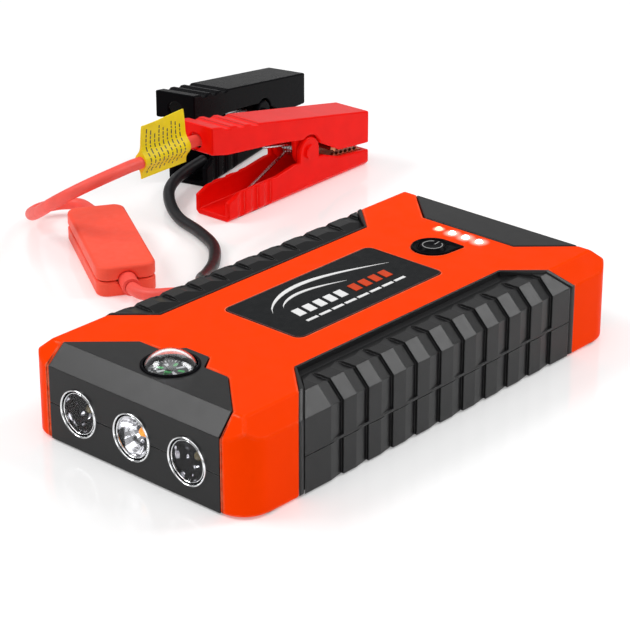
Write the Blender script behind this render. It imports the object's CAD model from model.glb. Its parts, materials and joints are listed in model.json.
"""Looks for a car jump starter pack with its battery clamps.

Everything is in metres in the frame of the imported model: the pack's long axis is X, with the lamps
at -X and the port door at +X, the plain ribbed side faces -Y and the jump socket +Y.
"""

import json
import math

import bmesh
import bpy
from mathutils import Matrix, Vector

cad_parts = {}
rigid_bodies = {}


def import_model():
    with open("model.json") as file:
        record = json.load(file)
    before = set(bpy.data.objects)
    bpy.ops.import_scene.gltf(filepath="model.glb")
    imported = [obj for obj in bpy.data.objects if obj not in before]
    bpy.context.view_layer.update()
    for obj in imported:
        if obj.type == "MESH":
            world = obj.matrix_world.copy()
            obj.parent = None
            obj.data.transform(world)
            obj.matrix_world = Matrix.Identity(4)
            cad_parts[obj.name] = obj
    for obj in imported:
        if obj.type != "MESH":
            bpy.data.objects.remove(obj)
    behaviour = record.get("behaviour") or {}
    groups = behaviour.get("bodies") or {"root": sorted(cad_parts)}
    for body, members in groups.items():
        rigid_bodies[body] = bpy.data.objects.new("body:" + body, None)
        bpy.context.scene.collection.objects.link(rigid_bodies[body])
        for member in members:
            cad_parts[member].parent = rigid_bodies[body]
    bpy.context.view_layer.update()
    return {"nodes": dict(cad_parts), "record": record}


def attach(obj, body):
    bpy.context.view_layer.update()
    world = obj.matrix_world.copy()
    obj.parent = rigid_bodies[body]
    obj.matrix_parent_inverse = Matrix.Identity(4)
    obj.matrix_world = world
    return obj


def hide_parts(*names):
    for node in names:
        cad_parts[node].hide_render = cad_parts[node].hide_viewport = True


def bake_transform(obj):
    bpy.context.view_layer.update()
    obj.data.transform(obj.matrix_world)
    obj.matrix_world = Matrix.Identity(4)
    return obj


for leftover in list(bpy.data.objects):
    bpy.data.objects.remove(leftover)

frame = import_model()
nodes = frame["nodes"]
scene = bpy.context.scene

MM = 0.001
# The pack in millimetres: half its length and width, its corners' radius and the cover's top
HALF_L, HALF_W, CORNER_R, TOP = 83.5, 43.2, 9, 29.0
LED_X, LED_PITCH = 59.6, 5.4

# ---------------------------------------------------------------- camera

# A long lens at azimuth -48 and elevation 24 degrees
CAMERA_AT, AIM_AT = (-0.4833, -0.4280, 0.3099), (-0.00387, 0.00371, 0.0216)
camera = bpy.data.objects.new("camera", bpy.data.cameras.new("camera"))
scene.collection.objects.link(camera)
camera.location = CAMERA_AT
line_of_sight = Vector(AIM_AT) - camera.location
camera.rotation_euler = line_of_sight.to_track_quat("-Z", "Y").to_euler()
camera.data.sensor_width = 36
camera.data.lens = 135.33
camera.data.clip_start = 0.02
camera.data.clip_end = 60
scene.camera = camera

# ---------------------------------------------------------------- materials


class Finish:
    """A node material on one Principled shader, with noise in the object's own metres."""

    def __init__(self, name, rough, **constants):
        self.material = bpy.data.materials.new(name)
        self.material.use_nodes = True
        self.tree = self.material.node_tree
        self.shader = self.tree.nodes["Principled BSDF"]
        self.shader.inputs["Roughness"].default_value = rough
        for socket, value in constants.items():
            self.shader.inputs[socket.replace("_", " ")].default_value = value
        self.place = self.add("ShaderNodeTexCoord").outputs["Object"]

    def add(self, kind, inputs=None, **settings):
        """A node with its settings, and values or links on its inputs."""
        node = self.tree.nodes.new(kind)
        for key, value in settings.items():
            setattr(node, key, value)
        for key, value in (inputs or {}).items():
            if isinstance(value, bpy.types.NodeSocket):
                self.tree.links.new(value, node.inputs[key])
            else:
                node.inputs[key].default_value = value
        return node

    def to_shader(self, output, socket):
        """Links an output to one of the shader's sockets."""
        self.tree.links.new(output, self.shader.inputs[socket])

    def stretched(self, scale):
        """The object's coordinates scaled by axis."""
        return self.add("ShaderNodeMapping", {"Vector": self.place, "Scale": scale}).outputs[0]

    def noise(self, size_mm, detail, vector=None, rough=0.55):
        """Noise whose coarsest clouds are about that size."""
        scale = 1 / (size_mm * MM)
        node = self.add(
            "ShaderNodeTexNoise",
            {"Vector": vector or self.place, "Scale": scale, "Detail": detail, "Roughness": rough},
        )
        return node.outputs["Fac"]

    def ranged(self, value, low, high, to_low, to_high):
        """A value mapped from one range to another and kept inside it."""
        limits = {"From Min": low, "From Max": high, "To Min": to_low, "To Max": to_high}
        node = self.add("ShaderNodeMapRange", {"Value": value, **limits})
        return node.outputs["Result"]

    def mixed(self, factor, first, second):
        """A blend of two colours, each a plain colour or an output."""
        node = self.add("ShaderNodeMix", {"Factor": factor}, data_type="RGBA")
        for index, value in ((6, first), (7, second)):
            if isinstance(value, bpy.types.NodeSocket):
                self.tree.links.new(value, node.inputs[index])
            else:
                node.inputs[index].default_value = (*value, 1)
        return node.outputs[2]

    def product(self, a, b):
        """Two values multiplied."""
        return self.add("ShaderNodeMath", {0: a, 1: b}, operation="MULTIPLY").outputs[0]


def moulded(name, color, rough, grain, grain_mm, mottle, mottle_mm, wear=None, wear_share=0.6,
            edge=(0.99, 0.88), spread=0.07, soft_mm=0, **constants):
    """Moulded plastic or rubber: grain in the skin, slow changes of tone and gloss, worn edges.

    wear is the colour of worn edges. edge says how far the rounded normal turns from the
    face's, as a cosine, where wear starts and where it is full. soft_mm also rounds the
    shading of edges that wide, and needs wear.
    """
    f = Finish(name, rough, **constants)
    clouds = f.noise(mottle_mm, 4)
    tone = f.ranged(clouds, 0.35, 0.65, 0, 1)
    dark = [c * (1 - mottle) for c in color]
    light = [min(c * (1 + mottle), 1) for c in color]
    shade = f.mixed(tone, dark, light)
    if wear:
        soft = f.add("ShaderNodeBevel", {"Radius": (soft_mm or 0.25) * MM}, samples=6).outputs[0]
        flat = f.add("ShaderNodeNewGeometry").outputs["Normal"]
        along = f.add("ShaderNodeVectorMath", {0: soft, 1: flat}, operation="DOT_PRODUCT")
        worn = f.product(
            f.ranged(along.outputs["Value"], *edge, 0, wear_share),
            f.ranged(f.noise(2.2, 5), 0.35, 0.6, 0.25, 1),
        )
        shade = f.mixed(worn, shade, wear)
    f.to_shader(shade, "Base Color")
    gloss = f.noise(mottle_mm * 0.45, 5)
    f.to_shader(f.ranged(gloss, 0.3, 0.7, rough - spread, rough + spread), "Roughness")
    heights = {"Strength": grain, "Distance": 0.0002, "Height": f.noise(grain_mm, 2)}
    bump = f.add("ShaderNodeBump", heights)
    if soft_mm:
        f.tree.links.new(soft, bump.inputs["Normal"])
    f.to_shader(bump.outputs[0], "Normal")
    return f.material


def metal(name, color, rough, brushed=(1, 1, 1), grain=0.05, tarnish=0.1):
    """Metal with fine scratches along one axis and faint tarnish."""
    f = Finish(name, rough, Metallic=1.0)
    tone = f.ranged(f.noise(3.5, 5), 0.35, 0.7, 0, 1)
    f.to_shader(f.mixed(tone, [c * (1 - tarnish) for c in color], color), "Base Color")
    lines = f.noise(0.5, 3, f.stretched(brushed))
    f.to_shader(f.ranged(lines, 0.3, 0.7, rough * 0.75, rough * 1.3), "Roughness")
    bump = f.add("ShaderNodeBump", {"Strength": grain, "Distance": 0.0001, "Height": lines})
    f.to_shader(bump.outputs[0], "Normal")
    return f.material


def swirled(name, dark, bright, share, size_mm):
    """A polished bowl that mirrors a dark room with bright windows: streaks of both tones."""
    rough = 0.08
    f = Finish(name, rough, Metallic=1.0)
    streaks = f.noise(size_mm, 1.5, f.stretched((1.0, 1.0, 0.55)), 0.4)
    low = 0.5 - share * 0.22
    window = f.ranged(streaks, low, low + 0.05, 1, 0)
    f.to_shader(f.mixed(window, dark, bright), "Base Color")
    f.to_shader(f.ranged(f.noise(1.2, 3), 0.3, 0.7, rough * 0.7, rough * 1.4), "Roughness")
    bump = f.add("ShaderNodeBump", {"Strength": 0.15, "Distance": 0.0004, "Height": streaks})
    f.to_shader(bump.outputs[0], "Normal")
    return f.material


def glowing(name, color, glow, strength):
    """Clear plastic lit from inside, a little brighter in its cloudy middle."""
    f = Finish(name, 0.25, Emission_Strength=strength)
    clouds = f.ranged(f.noise(0.8, 3), 0.3, 0.7, 0, 1)
    f.to_shader(f.mixed(clouds, color, [min(c * 1.1, 1) for c in color]), "Base Color")
    f.to_shader(f.mixed(clouds, glow, [min(c * 1.1, 1) for c in glow]), "Emission Color")
    f.to_shader(f.ranged(clouds, 0, 1, 0.18, 0.32), "Roughness")
    return f.material


def glassy(name, tint, rough=0.02, **constants):
    """Clear moulded plastic with faint ripples."""
    f = Finish(name, rough, Transmission_Weight=1.0, **constants)
    ripple = f.noise(2.5, 2)
    f.to_shader(f.mixed(ripple, [c * 0.96 for c in tint], tint), "Base Color")
    bump = f.add("ShaderNodeBump", {"Strength": 0.03, "Distance": 0.0002, "Height": ripple})
    f.to_shader(bump.outputs[0], "Normal")
    f.to_shader(f.ranged(ripple, 0.3, 0.7, rough * 0.5, rough * 2), "Roughness")
    return f.material


# The glow round the status lights, in metres: how far each reaches, and where it is strongest
HALO_REACH, HALO_CORE, HALO_STRENGTH = (0.0037, 0.0037, 0.0034, 0.0024), 0.0006, 1.3


def lit_skin():
    """The orange cover's look, with the four status lights shining into the skin round them."""
    material = moulded("orange_skin", (1.0, 0.049, 0.0003), 0.36, 0.05, 0.3, 0.02, 12,
                       wear=(1.0, 0.3, 0.16), wear_share=0.75, edge=(0.9985, 0.975),
                       soft_mm=0.7, Specular_IOR_Level=0.018, Specular_Tint=(1, 0.22, 0.02, 1))
    tree = material.node_tree
    total = None
    for i, reach in enumerate(HALO_REACH):
        place = tree.nodes.new("ShaderNodeTexCoord")
        away = tree.nodes.new("ShaderNodeVectorMath")
        away.operation = "DISTANCE"
        away.inputs[1].default_value = (LED_X * MM, (i - 1.5) * LED_PITCH * MM, TOP * MM)
        tree.links.new(place.outputs["Object"], away.inputs[0])
        fall = tree.nodes.new("ShaderNodeMapRange")
        fall.interpolation_type = "SMOOTHSTEP"
        limits = {"From Min": HALO_CORE, "From Max": reach, "To Min": HALO_STRENGTH, "To Max": 0}
        for socket, value in limits.items():
            fall.inputs[socket].default_value = value
        tree.links.new(away.outputs["Value"], fall.inputs["Value"])
        if total is None:
            total = fall.outputs["Result"]
        else:
            both = tree.nodes.new("ShaderNodeMath")
            tree.links.new(total, both.inputs[0])
            tree.links.new(fall.outputs["Result"], both.inputs[1])
            total = both.outputs[0]
    shader = tree.nodes["Principled BSDF"]
    shader.inputs["Emission Color"].default_value = (1.0, 0.56, 0.5, 1)
    tree.links.new(total, shader.inputs["Emission Strength"])
    return material


looks = {
    "orange_plastic": lit_skin(),
    "black_plastic": moulded("black_skin", (0.009, 0.009, 0.0095), 0.3, 0.06, 0.25, 0.06, 8,
                             wear=(0.1, 0.1, 0.1), wear_share=0.4, spread=0.02, soft_mm=0.3,
                             Specular_IOR_Level=0.27),
    "case_plastic": moulded("case_skin", (0.06, 0.06, 0.06), 0.6, 0.15, 0.4, 0.15, 10),
    "black_rubber": moulded("grip_rubber", (0.0085, 0.0085, 0.009), 0.32, 0.1, 0.22, 0.08, 7,
                            wear=(0.11, 0.11, 0.11), wear_share=0.4, spread=0.02, soft_mm=0.3,
                            Specular_IOR_Level=0.27),
    "plate_plastic": moulded("plate_skin", (0.006, 0.007, 0.008), 0.3, 0.06, 0.2, 0.06, 6,
                             Specular_IOR_Level=0.05),
    "white_print": moulded("white_print", (0.82, 0.82, 0.82), 0.45, 0.05, 0.3, 0.04, 4),
    "light_plastic": glowing("status_glow", (1.0, 0.9, 0.9), (1.0, 0.62, 0.6), 5.0),
    "chrome": metal("bright_chrome", (0.86, 0.87, 0.88), 0.09, tarnish=0.06),
    "clear_glass": glassy("clear_lens", (0.97, 0.98, 1.0), Specular_IOR_Level=0.5),
    "led_yellow": glowing("led_phosphor", (1.0, 0.42, 0.04), (1.0, 0.3, 0.02), 0.7),
    "circuit_board": moulded("board_resist", (0.01, 0.12, 0.04), 0.35, 0.15, 0.8, 0.3, 3),
    "cell_foil": metal("cell_foil", (0.75, 0.76, 0.78), 0.35, grain=0.25, tarnish=0.2),
    "steel": metal("bright_steel", (0.62, 0.62, 0.63), 0.24, brushed=(1, 1, 0.15)),
    "brass_gold": metal("gold_plate", (0.85, 0.6, 0.25), 0.2, brushed=(1, 0.2, 1)),
    "copper": metal("copper_plate", (0.74, 0.3, 0.16), 0.3, brushed=(0.2, 1, 1), tarnish=0.35),
    "dial": moulded("dial_card", (0.05, 0.055, 0.05), 0.5, 0.05, 0.3, 0.1, 3),
    "blue_plastic": moulded("plug_skin", (0.01, 0.05, 0.35), 0.38, 0.1, 0.3, 0.1, 5,
                            wear=(0.1, 0.2, 0.5), wear_share=0.4),
    "red_plastic": moulded("clamp_red_skin", (0.92, 0.006, 0.003), 0.22, 0.04, 0.4, 0.03, 7,
                           wear=(1.0, 0.1, 0.08), wear_share=0.3, spread=0.02,
                           Specular_IOR_Level=0.13, Specular_Tint=(1, 0.3, 0.25, 1)),
    "coral_plastic": moulded("box_skin", (0.98, 0.1, 0.055), 0.42, 0.06, 0.3, 0.03, 6,
                             wear=(1.0, 0.25, 0.18), wear_share=0.4, Specular_IOR_Level=0.14),
    "red_sleeve": moulded("red_sleeve", (0.94, 0.1, 0.075), 0.46, 0.1, 0.35, 0.05, 5,
                          Specular_IOR_Level=0.3),
    "black_sleeve": moulded("black_sleeve", (0.01, 0.01, 0.012), 0.38, 0.1, 0.35, 0.1, 5,
                            Specular_IOR_Level=0.4),
    "clamp_black": moulded("clamp_black_skin", (0.0035, 0.0035, 0.0045), 0.26, 0.04, 0.4, 0.08, 7,
                           wear=(0.05, 0.05, 0.055), wear_share=0.3, spread=0.02,
                           Specular_IOR_Level=0.018),
    "yellow_tag": moulded("tag_vinyl", (0.86, 0.66, 0.004), 0.45, 0.12, 0.6, 0.05, 4,
                          Specular_IOR_Level=0.2),
}
orange_print = moulded("orange_print", (0.62, 0.055, 0.012), 0.45, 0.05, 0.3, 0.05, 4,
                       Specular_IOR_Level=0.1)
outline_print = moulded("outline_print", (0.05, 0.003, 0.001), 0.42, 0.05, 0.3, 0.08, 4)
grey_print = moulded("grey_print", (0.3, 0.3, 0.3), 0.45, 0.05, 0.3, 0.05, 4)
green_print = moulded("green_print", (0.05, 0.5, 0.12), 0.45, 0.05, 0.3, 0.05, 4)
dark_print = moulded("dark_print", (0.05, 0.045, 0.02), 0.5, 0.05, 0.3, 0.05, 3)
unlit_led = moulded("unlit_led", (0.25, 0.2, 0.09), 0.2, 0.03, 0.3, 0.2, 2)
dim_light = glowing("charging_glow", (1.0, 0.7, 0.4), (1.0, 0.62, 0.36), 1.1)
smoked_chrome = swirled("smoked_chrome", (0.002, 0.002, 0.003), (0.72, 0.72, 0.76), 0.55,
                        1.9)
lit_chrome = swirled("lit_chrome", (0.06, 0.06, 0.065), (0.93, 0.93, 0.94), -0.25, 3.0)
lamp_glass = glassy("lamp_glass", (0.98, 0.98, 1.0), 0.01, IOR=1.2, Specular_IOR_Level=0.3)

# ---------------------------------------------------------------- helpers


def piece(name, mesh, body, slot, look=None, nodes_replaced=()):
    """An object from a mesh, riding on a body, with its slot's look or one of its own."""
    obj = bpy.data.objects.new(name, mesh)
    scene.collection.objects.link(obj)
    mesh.materials.clear()
    mesh.materials.append(look or looks[slot])
    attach(obj, body)
    if nodes_replaced:
        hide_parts(*nodes_replaced)
    return obj


def mesh_of(name, points, faces, smooth=True):
    """A mesh from points in millimetres, with its normals outward."""
    mesh = bpy.data.meshes.new(name)
    mesh.from_pydata([tuple(c * MM for c in p) for p in points], [], faces)
    mesh.validate()
    bm = bmesh.new()
    bm.from_mesh(mesh)
    bmesh.ops.recalc_face_normals(bm, faces=bm.faces)
    bm.to_mesh(mesh)
    bm.free()
    mesh.polygons.foreach_set("use_smooth", [smooth] * len(mesh.polygons))
    return mesh


def round_edges(obj, width_mm, segments, angle, chosen):
    """Rounds the edges sharper than an angle; chosen says which points' edges, if not all."""
    bevel = obj.modifiers.new("rounding", "BEVEL")
    bevel.width = width_mm * MM
    bevel.segments = segments
    bevel.limit_method = "WEIGHT" if chosen else "ANGLE"
    bevel.angle_limit = math.radians(angle)
    if chosen:
        bm = bmesh.new()
        bm.from_mesh(obj.data)
        weights = []
        for edge in bm.edges:
            sharp = edge.calc_face_angle(0) > math.radians(angle)
            weights.append(float(sharp and all(chosen(v.co / MM) for v in edge.verts)))
        bm.free()
        attribute = obj.data.attributes.new("bevel_weight_edge", "FLOAT", "EDGE")
        attribute.data.foreach_set("value", weights)
    bevel.use_clamp_overlap = False
    bevel.harden_normals = True


def cleaned(node, name, whole):
    """A copy of a CAD node's mesh as one closed skin, with whole flat faces if wanted."""
    bm = bmesh.new()
    bm.from_mesh(nodes[node].data)
    bmesh.ops.remove_doubles(bm, verts=bm.verts, dist=2e-6)
    if whole:
        bmesh.ops.dissolve_limit(
            bm, angle_limit=math.radians(0.6), use_dissolve_boundaries=False, verts=bm.verts,
            edges=bm.edges,
        )
    mesh = bpy.data.meshes.new(name)
    bm.to_mesh(mesh)
    bm.free()
    for attribute in ("custom_normal", "sharp_edge", "sharp_face"):
        if attribute in mesh.attributes:
            mesh.attributes.remove(mesh.attributes[attribute])
    mesh.polygons.foreach_set("use_smooth", [True] * len(mesh.polygons))
    mesh.set_sharp_from_angle(angle=math.radians(32))
    return mesh


body_of_node = {}
for body_name, members in frame["record"]["behaviour"]["bodies"].items():
    for member in members:
        body_of_node[member] = body_name
slot_of_node = {row["node"]: row["material_slot"] for row in frame["record"]["subparts"]}


def rounded(node, width_mm, segments, angle, chosen=None):
    """Stands for a CAD node: the same faces with rounded edges."""
    name = node + "_finished"
    obj = piece(name, cleaned(node, name, not chosen), body_of_node[node], slot_of_node[node],
                None, [node])
    round_edges(obj, width_mm, segments, angle, chosen)


# The cover's lower edge, y + z on the chamfers along its sides, and x + z on those at its ends
COVER_FOOT, SIDE_SLOPE, END_SLOPE = 0.6, 66.6, 106.9


def on_cover_skin(p):
    """Points of the cover's outside, apart from the holes in its top."""
    x, y = abs(p.x), abs(p.y)
    past_x, past_y = x - (HALF_L - CORNER_R), y - (HALF_W - CORNER_R)
    corner = past_x > 0 and past_y > 0 and math.hypot(past_x, past_y) > CORNER_R - 0.05
    slope = y + p.z > SIDE_SLOPE - 0.02 or x + p.z > END_SLOPE - 0.02
    level = p.z > TOP - 0.01 or p.z < COVER_FOOT + 0.01
    upright = y > HALF_W - 0.01 or x > HALF_L - 0.01
    button_or_light = 30 < p.x < 63.5 and y < 13
    plate = x < 36 and y < 16
    hole = p.z > 25 and (button_or_light or plate)
    return (corner or slope or level or upright) and not hole


def turned(point, at, degrees):
    """A point of a clamp's or box's own frame, in millimetres of the whole."""
    a = math.radians(degrees)
    x, y, z = point
    across, along = x * math.cos(a) - y * math.sin(a), x * math.sin(a) + y * math.cos(a)
    return (at[0] + across, at[1] + along, at[2] + z)


def red_frame(point):
    """A point of the red clamp's own frame."""
    return turned(point, (70, 119, 0), 2)


def smooth_route(points, steps):
    """The smooth curve that part.scad draws through a route's points."""
    p = [Vector(q) for q in points]
    last = len(p) - 1
    out = []
    for i in range(last):
        a, b, c, d = p[max(i - 1, 0)], p[i], p[i + 1], p[min(i + 2, last)]
        for k in range(steps):
            t = k / steps
            out.append(0.5 * (2 * b + (c - a) * t + (2 * a - 5 * b + 4 * c - d) * t * t
                              + (3 * b - a - 3 * c + d) * t ** 3))
    return out + [p[last]]


def tube_mesh(name, line, radius, sides=24):
    """A round tube along a line in millimetres, with closed ends and no twist."""
    points, faces = [], []
    up = Vector((0, 0, 1))
    before = None
    last = len(line) - 1
    for i, here in enumerate(line):
        along = (line[min(i + 1, last)] - line[max(i - 1, 0)]).normalized()
        if before is None:
            across = along.cross(up).normalized()
        else:
            across = (before - along * before.dot(along)).normalized()
        before = across
        other = across.cross(along)
        for k in range(sides):
            turn = 2 * math.pi * k / sides
            points.append(here + radius * (across * math.cos(turn) + other * math.sin(turn)))
    for i in range(last):
        for k in range(sides):
            a, b = i * sides + k, i * sides + (k + 1) % sides
            faces.append((a, b, b + sides, a + sides))
    faces.append(tuple(range(sides - 1, -1, -1)))
    faces.append(tuple(last * sides + k for k in range(sides)))
    return mesh_of(name, points, faces)


def prism_mesh(name, outline, z0, z1):
    """A flat plate with that outline, between two heights."""
    n = len(outline)
    points = [(x, y, z) for z in (z0, z1) for x, y in outline]
    faces = [tuple(range(n - 1, -1, -1)), tuple(range(n, 2 * n))]
    faces += [(k, (k + 1) % n, n + (k + 1) % n, n + k) for k in range(n)]
    return mesh_of(name, points, faces, smooth=False)


def joined(name, meshes):
    """One mesh from several."""
    bm = bmesh.new()
    for mesh in meshes:
        bm.from_mesh(mesh)
    out = bpy.data.meshes.new(name)
    bm.to_mesh(out)
    bm.free()
    return out


def lathe_mesh(name, profile, sides, place=lambda p: p, smooth=True):
    """A profile of (radius, height) turned about the axis.

    A profile that ends where it starts gives a ring, and any other is closed on the axis.
    """
    points, faces, rows = [], [], []
    closed = profile[0] == profile[-1]
    for r, h in profile[:-1] if closed else profile:
        if r < 1e-6:
            rows.append([len(points)] * sides)
            points.append(place((0, 0, h)))
        else:
            rows.append(list(range(len(points), len(points) + sides)))
            for k in range(sides):
                turn = 2 * math.pi * k / sides
                points.append(place((r * math.cos(turn), r * math.sin(turn), h)))
    if closed:
        rows.append(rows[0])
    for lower, upper in zip(rows, rows[1:]):
        for k in range(sides):
            m = (k + 1) % sides
            ring = [lower[k], lower[m], upper[m], upper[k]]
            face = [v for j, v in enumerate(ring) if v not in ring[:j]]
            if len(face) > 2:
                faces.append(tuple(face))
    return mesh_of(name, points, faces, smooth)


def arc(radius, start, end, steps, centre=(0, 0)):
    """Points on an arc, angles in degrees."""
    turns = [math.radians(start + (end - start) * i / steps) for i in range(steps + 1)]
    return [(centre[0] + radius * math.cos(t), centre[1] + radius * math.sin(t)) for t in turns]


def rounded_rect(length, width, radius, centre):
    """The outline of a plate with round corners."""
    out = []
    for sx, sy, start in ((1, 1, 0), (-1, 1, 90), (-1, -1, 180), (1, -1, 270)):
        middle = (centre[0] + sx * (length / 2 - radius), centre[1] + sy * (width / 2 - radius))
        out += arc(radius, start, start + 90, 10, middle)
    return out


# ---------------------------------------------------------------- leads

LEAD_R, ROUTE_STEPS = 2.1, 8
# The routes that part.scad draws, in millimetres
SHORT_ROUTE = [(5, 54, 9.2), (5, 58.4, 9.2), (4, 64, 8.6), (1.4, 70, 7.4), (-1, 76, 6.1),
               (-1.6, 81.6, 5.4), (-0.3, 86.8, 5.25)]
RED_ROUTE = [(35.9, 144.7, 5.25), (38.1, 148.1, 5.2), (39.6, 155, 4.8), (36, 161.3, 4.2),
             (29.6, 163.5, 4), (23, 161, 4.8), (16.8, 153.6, 8), (12, 144, 13.2),
             (8.9, 134.4, 19.2), (9.2, 125.6, 24.8), (14, 119.5, 28.9), (22, 117.3, 30.7),
             (30.3, 117.6, 31)]
# The red lead's end, in the red clamp's own frame
TAIL_ROUTE = [(-35, 0, 30.9), (-22, 0, 31.4), (-8, 0, 31.2), (4, 0, 29.4), (16, 0, 27)]
BLACK_ROUTE = [(12.5, 54, 9.2), (12.5, 58.4, 9.2), (13, 65.5, 8.8), (18, 73, 6.4), (27, 79.5, 3.6),
               (38, 87, 2.2), (48, 97, 2.2), (54, 110, 2.2), (58, 123, 2.2), (63, 132.5, 3.4),
               (70, 140.5, 4.6), (78, 145.5, 5.3), (87, 148.7, 5.6), (99, 152, 5.6)]


def lead(name, route, slot, replaced):
    """A lead as a tube along its route; gives the piece and its centre line in metres."""
    line = smooth_route(route, ROUTE_STEPS)
    mesh = tube_mesh(name, line, LEAD_R)
    obj = bpy.data.objects.new(name, mesh)
    scene.collection.objects.link(obj)
    mesh.materials.append(looks[slot])
    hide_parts(*replaced)
    return obj, [[c * MM for c in p] for p in line]


short_lead, short_line = lead("short_red_lead", SHORT_ROUTE, "red_sleeve", ["red_lead_short"])
red_lead, red_line = lead(
    "long_red_lead", RED_ROUTE + [red_frame(p) for p in TAIL_ROUTE], "red_sleeve", ["red_lead"]
)
black_lead, black_line = lead("black_lead_sleeve", BLACK_ROUTE, "black_sleeve", ["black_lead"])
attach(short_lead, "pack")
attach(black_lead, "pack")
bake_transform(red_lead)

# ---------------------------------------------------------------- rounded CAD pieces

ROUNDED = {
    # node: width of the rounding in millimetres, steps, least angle in degrees
    "rear_bezel_upper": (0.4, 3, 24), "name_plate": (0.25, 3, 40), "port_door": (0.35, 3, 30),
    "jump_socket": (0.3, 2, 40), "jump_plug": (0.6, 3, 30),
    "box_base": (0.8, 4, 40), "box_lid": (1.1, 4, 40),
    "red_lower_arm": (0.6, 3, 20), "red_upper_arm": (0.6, 3, 20),
    "black_lower_arm": (0.6, 3, 20), "black_upper_arm": (0.6, 3, 20),
    "red_lower_jaw": (0.12, 2, 30), "red_upper_jaw": (0.12, 2, 30),
    "black_lower_jaw": (0.12, 2, 30), "black_upper_jaw": (0.12, 2, 30),
}
for cad_node, (width, steps, least) in ROUNDED.items():
    rounded(cad_node, width, steps, least)
rounded("cover_shell", 0.7, 4, 24, chosen=on_cover_skin)
for cad_node, obj in nodes.items():
    if not obj.hide_render:
        for material_slot in obj.material_slots:
            material_slot.material = looks[slot_of_node[cad_node]]
for cad_node, look in (("lamp_lenses", lamp_glass), ("power_button", looks["clamp_black"])):
    for material_slot in nodes[cad_node].material_slots:
        material_slot.material = look

# ---------------------------------------------------------------- rubber lips of the side windows

# An end of a window in plan: its corner in the top, where it crosses the shoulder, and its slant
WINDOW_CORNER, WINDOW_SHOULDER, WINDOW_SLANT = (46, 26.5), (56, 37.4), 6.5 / 5.8
# The lip's section: how far inside the window's edge, and how far below the cover's skin
LIP_SECTION = ((0.06, 1.9), (0.06, 0.0), (0.1, -0.08), (0.2, -0.12), (0.45, -0.12), (0.58, -0.06),
               (0.66, 0.06), (0.7, 0.3), (0.7, 1.9))
LIP_STEPS = 12


def lip_rail(inward, down, side):
    """A line along a side window's edge, that far inside it and below the cover's skin."""
    wide = 2.2 * inward - 0.07  # the lip is wider up the ends than along the top

    def edge_x(y):
        """Where the window's end is at that distance from the pack's middle plane."""
        return WINDOW_SHOULDER[0] - 1.43 * wide + (y - WINDOW_SHOULDER[1]) * WINDOW_SLANT

    side_y, shoulder_y = HALF_W - down, 37.6 - 0.414 * down
    half = [(edge_x(side_y), side_y, 0.9), (edge_x(side_y), side_y, 23.4 - 0.414 * down),
            (edge_x(shoulder_y), shoulder_y, TOP - down),
            (WINDOW_CORNER[0] - 0.44 * inward, WINDOW_CORNER[1] + inward, TOP - down)]
    ends = [(-x, side * y, z) for x, y, z in half] + [(x, side * y, z) for x, y, z in half[::-1]]
    line = []
    for a, b in zip(ends, ends[1:]):
        line += [Vector(a).lerp(Vector(b), k / LIP_STEPS) for k in range(LIP_STEPS)]
    return line + [Vector(ends[-1])]


def lip_mesh(name, side):
    """The lip's section swept up one end of the window, along its top and down the other end."""
    rails = [lip_rail(inward, down, side) for inward, down in LIP_SECTION]
    count, across = len(rails[0]), len(rails)
    points = [rails[j][i] for i in range(count) for j in range(across)]
    last = (count - 1) * across
    faces = [tuple(range(across)), tuple(last + j for j in range(across - 1, -1, -1))]
    for i in range(count - 1):
        for j in range(across):
            a, b = i * across + j, i * across + (j + 1) % across
            faces.append((a, b, b + across, a + across))
    mesh = mesh_of(name, points, faces)
    mesh.set_sharp_from_angle(angle=math.radians(35))
    return mesh


for side, label in ((-1, "plain"), (1, "socket")):
    piece("window_lip_" + label, lip_mesh("window_lip_" + label, side), "pack", "black_rubber")

# ---------------------------------------------------------------- name plate and button

PLATE_X, STROKE_STEPS = 1, 24
PRINT_Z, OUTLINE_Z = (TOP + 0.1, TOP + 0.25), TOP + 0.02
OUTLINE_L, OUTLINE_W, OUTLINE_R = 64.5, 30.0, 2.4


def crescent(x0, x1, y, rise, thick):
    """A thin curved stroke that rises and falls between two points."""
    upper, lower = [], []
    for i in range(STROKE_STEPS + 1):
        x = x0 + (x1 - x0) * i / STROKE_STEPS
        hump = math.sin(math.pi * (i / STROKE_STEPS) ** 0.75)
        upper.append((x, y + (rise + thick) * hump))
        lower.append((x, y + rise * hump))
    return upper + lower[-2:0:-1]


def printed(name, outlines, look, replaced=()):
    """Printed shapes on the name plate, from outlines about its middle."""
    shapes = [
        prism_mesh("shape", [(PLATE_X + x, y) for x, y in outline], *PRINT_Z)
        for outline in outlines
    ]
    piece(name, joined(name, shapes), "pack", "white_print", look, replaced)


blocks = []
for i in range(9):
    left = -21 + 4.6 * i + (1.8 if i > 4 else 0)
    blocks.append([(left, -5), (left + 3, -5), (left + 3.8, -0.6), (left + 0.8, -0.6)])
dashes = []
for i in range(8):
    left, right = -22 + 5.6 * i, -17.4 + 5.6 * i
    dashes.append([(left, -9.2), (right, -9.2), (right, -8.1), (left, -8.1)])
curves = [crescent(-25, 27, 2, 8, 1.6), crescent(-20, 8, 2.4, 3.6, 1.15)]
printed("emblem_white", curves + blocks[:5] + dashes, looks["white_print"], ["emblem_inlay"])
printed("emblem_orange", blocks[5:], orange_print)

border = [Vector((x, y, OUTLINE_Z))
          for x, y in rounded_rect(OUTLINE_L, OUTLINE_W, OUTLINE_R, (PLATE_X, 0))]
piece("plate_outline", tube_mesh("plate_outline", border + border[:1], 0.22, 8), "pack",
      "plate_plastic", outline_print)

BUTTON_X = 46.5
LEAF_TURN = math.radians(-48)
LEAF_STEPS = 64


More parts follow.
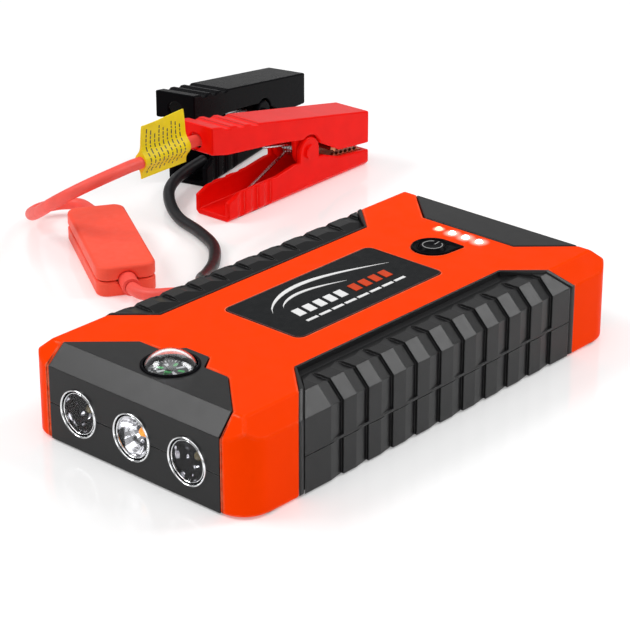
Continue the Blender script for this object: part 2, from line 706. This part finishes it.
def leaf(r, tip):
    """The button surround's outline: a circle drawn out to a point, aslant between +X and -Y."""
    touch = math.degrees(math.acos(r / tip))
    outline = [(tip, 0)] + arc(r, touch, 360 - touch, LEAF_STEPS)
    cos, sin = math.cos(LEAF_TURN), math.sin(LEAF_TURN)
    return [(x * cos - y * sin, x * sin + y * cos) for x, y in outline]


# The surround's rings from outside in, each as radius, reach of its point and height, and then
# the round collar next to the button, as radius and height
LEAF_RINGS = [(6.7, 9.75, 28.0), (6.7, 9.75, 29.35), (6.6, 9.6, 29.52), (6.42, 9.3, 29.62),
              (6.15, 8.85, 29.62), (5.95, 8.5, 29.5), (5.8, 8.2, 29.22), (5.3, 7.2, 29.15)]
LEAF_COLLAR = [(4.95, 29.22), (4.8, 29.45), (4.65, 29.55), (4.5, 29.5), (4.45, 29.3), (4.45, 28.0)]


def leaf_mesh():
    """The raised surround: rim, shallow dish and collar, from outside to inside."""
    levels = [(leaf(r, tip), z) for r, tip, z in LEAF_RINGS]
    angles = [math.atan2(y, x) for x, y in levels[0][0]]
    for r, z in LEAF_COLLAR:
        levels.append(([(r * math.cos(a), r * math.sin(a)) for a in angles], z))
    count = len(angles)
    points = [(BUTTON_X + x, y, z) for ring, z in levels for x, y in ring]
    faces = []
    for level in range(len(levels)):
        here, after = level * count, (level + 1) % len(levels) * count
        for k in range(count):
            m = (k + 1) % count
            faces.append((here + k, here + m, after + m, after + k))
    mesh = mesh_of("button_surround", points, faces)
    mesh.set_sharp_from_angle(angle=math.radians(50))
    return mesh


piece("button_surround", leaf_mesh(), "pack", "black_plastic", looks["clamp_black"],
      ["button_bezel"])

MARK_R, MARK_LINE_R = 3.1, 0.2
MARK_LOW, MARK_RISE = TOP + 0.52, 0.3


def power_mark():
    """The usual power sign, in the button's shallow dish: an open ring and a stroke."""
    ring = [Vector((BUTTON_X + x, y, MARK_LOW + MARK_RISE)) for x, y in arc(MARK_R, 30, 330, 48)]
    stroke = [
        Vector((BUTTON_X + x, 0, MARK_LOW + MARK_RISE * x / MARK_R)) for x in (1.0, 1.8, 2.6, 3.3)
    ]
    lines = [tube_mesh("line", line, MARK_LINE_R, 10) for line in (ring, stroke)]
    return joined("power_mark", lines)


piece("power_mark", power_mark(), "power_button", "black_plastic", grey_print)

# ---------------------------------------------------------------- status lights

LIGHT_R, LIGHT_RISE, LIGHT_FOOT, LIGHT_EDGE = 1.2, 0.95, 26.3, TOP - 0.12


def light_dome(index):
    """One of the light pipe's fingers, with a domed top in the cover's hole."""
    shaft = [(0, LIGHT_FOOT), (LIGHT_R, LIGHT_FOOT), (LIGHT_R, LIGHT_EDGE - 0.03)]
    dome = [(LIGHT_R * math.sin(math.radians(t)),
             LIGHT_EDGE + LIGHT_RISE * math.cos(math.radians(t))) for t in range(80, 0, -10)]
    mesh = lathe_mesh("light", shaft + dome + [(0, LIGHT_EDGE + LIGHT_RISE)], 36)
    for vertex in mesh.vertices:
        vertex.co.x += LED_X * MM
        vertex.co.y += (index - 1.5) * LED_PITCH * MM
    return mesh


piece("status_lights", joined("status_lights", [light_dome(i) for i in range(3)]), "pack",
      "light_plastic", None, ["light_pipe"])
piece("charging_light", light_dome(3), "pack", "light_plastic", dim_light)

# ---------------------------------------------------------------- lamps

LAMP_Z, LAMP_PITCH = 12.2, 21.5
BOWL_BOTTOM_R, BOWL_TOP_R, BOWL_FLOOR, BOWL_DEPTH = 2.15, 5.75, -5.5, 4.6
LED_DOME_R, LED_DOME_Z = 1.3, -4.6


def at_lamp(index):
    """Places a lathe's points in front of a lamp, with the height pointing out of it."""
    return lambda p: (-HALF_L - p[2], index * LAMP_PITCH + p[1], LAMP_Z + p[0])


def bowl_profile(rings):
    """The reflector's section: the bright parabola inside, the rim and the plain back."""
    inner = []
    for k in range(rings + 1):
        out = k / rings
        r = BOWL_BOTTOM_R + (BOWL_TOP_R - BOWL_BOTTOM_R) * out
        inner.append((r, BOWL_FLOOR + BOWL_DEPTH * out**1.6))
    back = [(6.1, -0.9), (6.1, -1.1), (5.5, -2.6), (4.5, -4.4), (2.6, -6)]
    return inner + back + [(BOWL_BOTTOM_R, -6), (BOWL_BOTTOM_R, BOWL_FLOOR)]


def led_profile():
    """The LED's section: a stepped base and a round dome."""
    base = [(0, -6.8), (2.0, -6.8), (2.0, -5.6), (LED_DOME_R, -5.5), (LED_DOME_R, LED_DOME_Z)]
    dome = [(x, LED_DOME_Z + z) for x, z in arc(LED_DOME_R, 15, 75, 4)]
    return base + dome + [(0, LED_DOME_Z + LED_DOME_R)]


# Sections of the three steps of a lamp's ring: radius, and height in front of the bezel
RING_LIP = [(6.75, -0.4), (6.75, 0.3), (6.85, 0.6), (7.05, 0.7), (7.22, 0.6), (7.3, 0.4), (7.3, 0),
            (6.9, 0), (6.9, -4), (6.6, -4), (6.6, -0.4), (6.75, -0.4)]
RING_GROOVE = [(6.3, -3.9), (6.3, 0.0), (6.4, 0.1), (6.74, 0.1), (6.74, -0.42), (6.59, -0.42),
               (6.59, -3.9), (6.3, -3.9)]
RING_INNER = [(6.12, -0.75), (5.95, -0.2), (6.0, 0.1), (6.12, 0.22), (6.25, 0.15), (6.29, 0.0),
              (6.29, -1.2), (6.12, -1.2), (6.12, -0.75)]

for label, profile, look, stands_for in (
    ("lamp_ring_lips", RING_LIP, None, ["lamp_bezels"]),
    ("lamp_ring_grooves", RING_GROOVE, looks["clamp_black"], ()),
    ("lamp_ring_inner", RING_INNER, None, ()),
):
    rings = [lathe_mesh("ring", profile, 72, at_lamp(index)) for index in (-1, 0, 1)]
    obj = piece(label, joined(label, rings), "pack", "chrome", look, stands_for)
    obj.data.set_sharp_from_angle(angle=math.radians(50))

# The middle lamp shines, with a coarse faceted bowl. The outer two are dark and smooth.
for index, label in ((-1, "right"), (0, "middle"), (1, "left")):
    lit = index == 0
    name, steps, sides = "lamp_bowl_" + label, 5 if lit else 14, 18 if lit else 64
    bowl = lathe_mesh(name, bowl_profile(steps), sides, at_lamp(index), smooth=not lit)
    piece(name, bowl, "pack", "chrome", lit_chrome if lit else smoked_chrome,
          ["lamp_reflectors"] if lit else ())
    name = "lamp_led_" + label
    led = lathe_mesh(name, led_profile(), 40, at_lamp(index))
    piece(name, led, "pack", "led_yellow", looks["led_yellow"] if lit else unlit_led,
          ["lamp_leds"] if lit else ())

# ---------------------------------------------------------------- compass

COMPASS_X, DOME_CENTRE_Z, MARK_Z = -68.0, 24.3, (27.35, 27.5)


def card_stroke(inner, outer, half, outer_half=None):
    """A radial stroke on the compass card, as an outline along x."""
    wide = outer_half or half
    return [(inner, -half), (outer, -wide), (outer, wide), (inner, half)]


def dial_marks(kind):
    """Raised marks on the compass card: short and long strokes, or the north arrow."""
    shapes = []
    if kind == "strokes":
        for k in range(36):
            inner = 4.6 if k % 9 == 0 else (5.0 if k % 3 == 0 else 5.4)
            shapes.append((card_stroke(inner, 6.3, 0.3 if k % 9 == 0 else 0.16), 10 * k))
        shapes += [(card_stroke(1.7, 4.0, 0.3, 0.6), 90 * k + 65) for k in range(4)]
    else:
        shapes.append(([(1.4, -1.2), (4.4, 0), (1.4, 1.2)], 200))
        shapes += [(card_stroke(2.3, 4.2, 0.5), 110 + 90 * k) for k in range(4)]
    meshes = []
    for outline, degrees in shapes:
        c, s = math.cos(math.radians(degrees)), math.sin(math.radians(degrees))
        turned_outline = [(COMPASS_X + x * c - y * s, x * s + y * c) for x, y in outline]
        meshes.append(prism_mesh("mark", turned_outline, *MARK_Z))
    return joined("dial_" + kind, meshes)


def compass_piece(name, profile, body, slot, stands_for, look=None):
    """A lathed piece on the compass's axis."""
    mesh = lathe_mesh(name, profile, 72)
    for vertex in mesh.vertices:
        vertex.co.x += COMPASS_X * MM
    mesh.set_sharp_from_angle(angle=math.radians(40))
    return piece(name, mesh, body, slot, look, stands_for)


def sphere_part(radius, widest, steps, down=False):
    """Part of a sphere about the dome's centre: from the widest radius up to the top, or down."""
    most = math.degrees(math.asin(widest / radius))
    part = [(y, DOME_CENTRE_Z + x) for x, y in arc(radius, 0, most, steps)]
    part[0] = (0, part[0][1])
    return part if down else part[::-1]


compass_glass = compass_piece(
    "compass_glass",
    sphere_part(8.2, 7.1, 18, down=True) + [(7.1, 28.3), (7.7, 28.3)] + sphere_part(9.0, 7.7, 20),
    "pack", "clear_glass", ["compass_dome"])
compass_piece(
    "compass_cup",
    [(0, 24.4), (8.3, 24.4), (8.3, 29.0), (8.6, 29.0), (8.6, 29.3), (8.45, 29.46), (8.2, 29.5),
     (7.85, 29.5), (7.75, 29.4), (7.75, 28.3), (7.1, 28.3), (7.1, 25.4), (0, 25.4)],
    "pack", "black_plastic", ["compass_bowl"], looks["clamp_black"])
compass_piece(
    "compass_dial",
    [(0, 27.75), (0.46, 27.75), (0.46, 26.6), (1.2, 26.6), (1.2, 26.9), (6.55, 26.9),
     (6.7, 27.0), (6.7, 27.3), (6.6, 27.4), (1.2, 27.4), (1.2, 27.95), (1.0, 28.2), (0, 28.2)],
    "compass_card", "dial", ["compass_card"])
piece("dial_strokes", dial_marks("strokes"), "compass_card", "dial", looks["white_print"])
piece("dial_arrow", dial_marks("arrow"), "compass_card", "dial", green_print)

# ---------------------------------------------------------------- tag on the lead

# The tag's extent in the red clamp's own frame, and the height at which the lead runs through it
TAG_X, TAG_Z, TAG_LEAD_Z = (-35.0, -13.0), (25.0, 44.0), 31.2
TAG_COLUMNS, TAG_ROWS = 23, 41
# Half the thickness of both leaves together, and the swell round the lead: its height and reach
TAG_HALF, TAG_SWELL, TAG_SWELL_REACH = 0.22, 2.5, 2.9


def tag_side(z):
    """How far a leaf of the folded tag stands from the middle, round the lead."""
    return TAG_HALF + TAG_SWELL * math.exp(-((abs(z - TAG_LEAD_Z) / TAG_SWELL_REACH) ** 2.4))


def tag_bend(x, z):
    """The slight curl of the tag's free ends."""
    u = (x - TAG_X[0]) / (TAG_X[1] - TAG_X[0])
    up = max(z - TAG_LEAD_Z - 3, 0) / 10
    return -0.8 * up * up * math.cos(math.pi * u) - 0.35 * math.sin(math.pi * u) * up


def tag_mesh():
    """The tag: two leaves that swell round the lead, closed along their rim."""
    columns, rows = TAG_COLUMNS, TAG_ROWS
    points, faces = [], []
    for side in (-1, 1):
        for i in range(columns):
            x = TAG_X[0] + (TAG_X[1] - TAG_X[0]) * i / (columns - 1)
            for j in range(rows):
                z = TAG_Z[0] + (TAG_Z[1] - TAG_Z[0]) * j / (rows - 1)
                points.append(red_frame((x, side * tag_side(z) + tag_bend(x, z), z)))
    half = columns * rows
    for i in range(columns - 1):
        for j in range(rows - 1):
            a = i * rows + j
            faces.append((a, a + rows, a + rows + 1, a + 1))
            faces.append((half + a + 1, half + a + rows + 1, half + a + rows, half + a))
    rim = list(range(rows)) + [i * rows + rows - 1 for i in range(1, columns)]
    rim += [(columns - 1) * rows + j for j in range(rows - 2, -1, -1)]
    rim += [i * rows for i in range(columns - 2, 0, -1)]
    for k, a in enumerate(rim):
        b = rim[(k + 1) % len(rim)]
        faces.append((a, b, half + b, half + a))
    mesh = mesh_of("tag_flag", points, faces)
    mesh.set_sharp_from_angle(angle=math.radians(50))
    return mesh


# The tag's dashes: half their width, their height above their foot, how deep the foot is sunk,
# the gap between two, the length of a step along them, their lengths in turn, and their rows
DASH_HALF, DASH_LIFT, DASH_SINK, DASH_GAP, DASH_STEP = 0.24, 0.07, 0.03, 0.45, 0.4
DASH_LENGTHS, DASH_ROWS, ROW_START, ROW_PITCH = (1.0, 1.6, 0.7, 1.3), 9, 2.4, 2.1
DASH_SECTION = ((-DASH_HALF, 0), (-DASH_HALF, DASH_LIFT), (DASH_HALF, DASH_LIFT), (DASH_HALF, 0))


def tag_dash(x, z, end):
    """A raised dash up the front of the tag, which follows its swell and curl."""
    steps = max(2, int((end - z) / DASH_STEP))
    strip = []
    for j in range(steps + 1):
        h = z + (end - z) * j / steps
        for dx, lift in DASH_SECTION:
            y = -tag_side(h) + tag_bend(x + dx, h) - lift + DASH_SINK
            strip.append(red_frame((x + dx, y, h)))
    faces = [tuple(range(4)), tuple(4 * steps + q for q in range(3, -1, -1))]
    for j in range(steps):
        for q in range(4):
            a, b = 4 * j + q, 4 * j + (q + 1) % 4
            faces.append((a, b, b + 4, a + 4))
    return mesh_of("dash", strip, faces, smooth=False)


def tag_lines():
    """Plain dashes in rows up the front of the tag, with no lettering."""
    meshes = []
    for row in range(DASH_ROWS):
        x = TAG_X[0] + ROW_START + row * ROW_PITCH
        z, k = TAG_Z[0] + 1.5 + 0.4 * (row % 3), 0
        while z < TAG_Z[1] - 2.0 - (row % 3) * 1.2:
            end = min(z + DASH_LENGTHS[(row + k) % len(DASH_LENGTHS)], TAG_Z[1] - 1.4)
            meshes.append(tag_dash(x, z, end))
            z, k = end + DASH_GAP, k + 1
    return joined("tag_print", meshes)


piece("tag_flag", tag_mesh(), "red_upper_arm", "yellow_tag", None, ["lead_tag"])
piece("tag_print", tag_lines(), "red_upper_arm", "yellow_tag", dark_print)

# ---------------------------------------------------------------- floor and light

HALF_FLOOR, LIT = 12, Vector((0, 0, 0.01))
corners = [(HALF_FLOOR * x, HALF_FLOOR * y, 0) for x, y in ((-1, -1), (1, -1), (1, 1), (-1, 1))]
floor_mesh = bpy.data.meshes.new("floor")
floor_mesh.from_pydata(corners, [], [(0, 1, 2, 3)])
floor = bpy.data.objects.new("floor", floor_mesh)
scene.collection.objects.link(floor)
pale = Finish("pale_floor", 0.1, Specular_IOR_Level=0.5, Emission_Color=(1, 1, 1, 1),
              Emission_Strength=0.22)
cloud = pale.ranged(pale.noise(60, 3), 0.3, 0.7, 0, 1)
pale.to_shader(pale.mixed(cloud, (0.86, 0.86, 0.86), (0.88, 0.88, 0.88)), "Base Color")
floor_mesh.materials.append(pale.material)


def softbox(name, location, size, watts):
    """A soft rectangular light aimed at the middle of the pack."""
    data = bpy.data.lights.new(name, "AREA")
    data.shape = "RECTANGLE"
    data.size, data.size_y = size
    data.energy = watts
    obj = bpy.data.objects.new(name, data)
    scene.collection.objects.link(obj)
    obj.location = location
    obj.rotation_euler = (LIT - Vector(location)).to_track_quat("-Z", "Y").to_euler()
    return obj


softbox("over_front", (-0.75, 1.05, 1.25), (0.9, 0.5), 12)
softbox("over_side", (1.2, -0.75, 1.15), (0.5, 0.9), 12)
softbox("top", (-0.2, -0.1, 1.9), (1.6, 1.6), 12)
softbox("behind", (1.4, 1.25, 0.85), (1.2, 0.8), 0.9)
softbox("front_fill", (-1.5, -1.2, 0.7), (1.4, 1.0), 7.8)
# Lights the dome alone, for the white arc on its glass
gleam = softbox("gleam", (0.58, 0.58, 0.5), (1.1, 0.9), 3.2)
lit_by_gleam = bpy.data.collections.new("lit_by_gleam")
lit_by_gleam.objects.link(compass_glass)
gleam.light_linking.receiver_collection = lit_by_gleam
world = bpy.data.worlds.new("studio")
scene.world = world
world.use_nodes = True
background = world.node_tree.nodes["Background"]
background.inputs["Color"].default_value = (1, 1, 1, 1)
background.inputs["Strength"].default_value = 0.3
scene.view_settings.view_transform = "Standard"
scene.view_settings.look = "None"
scene.view_settings.exposure = 0
scene.view_settings.gamma = 1
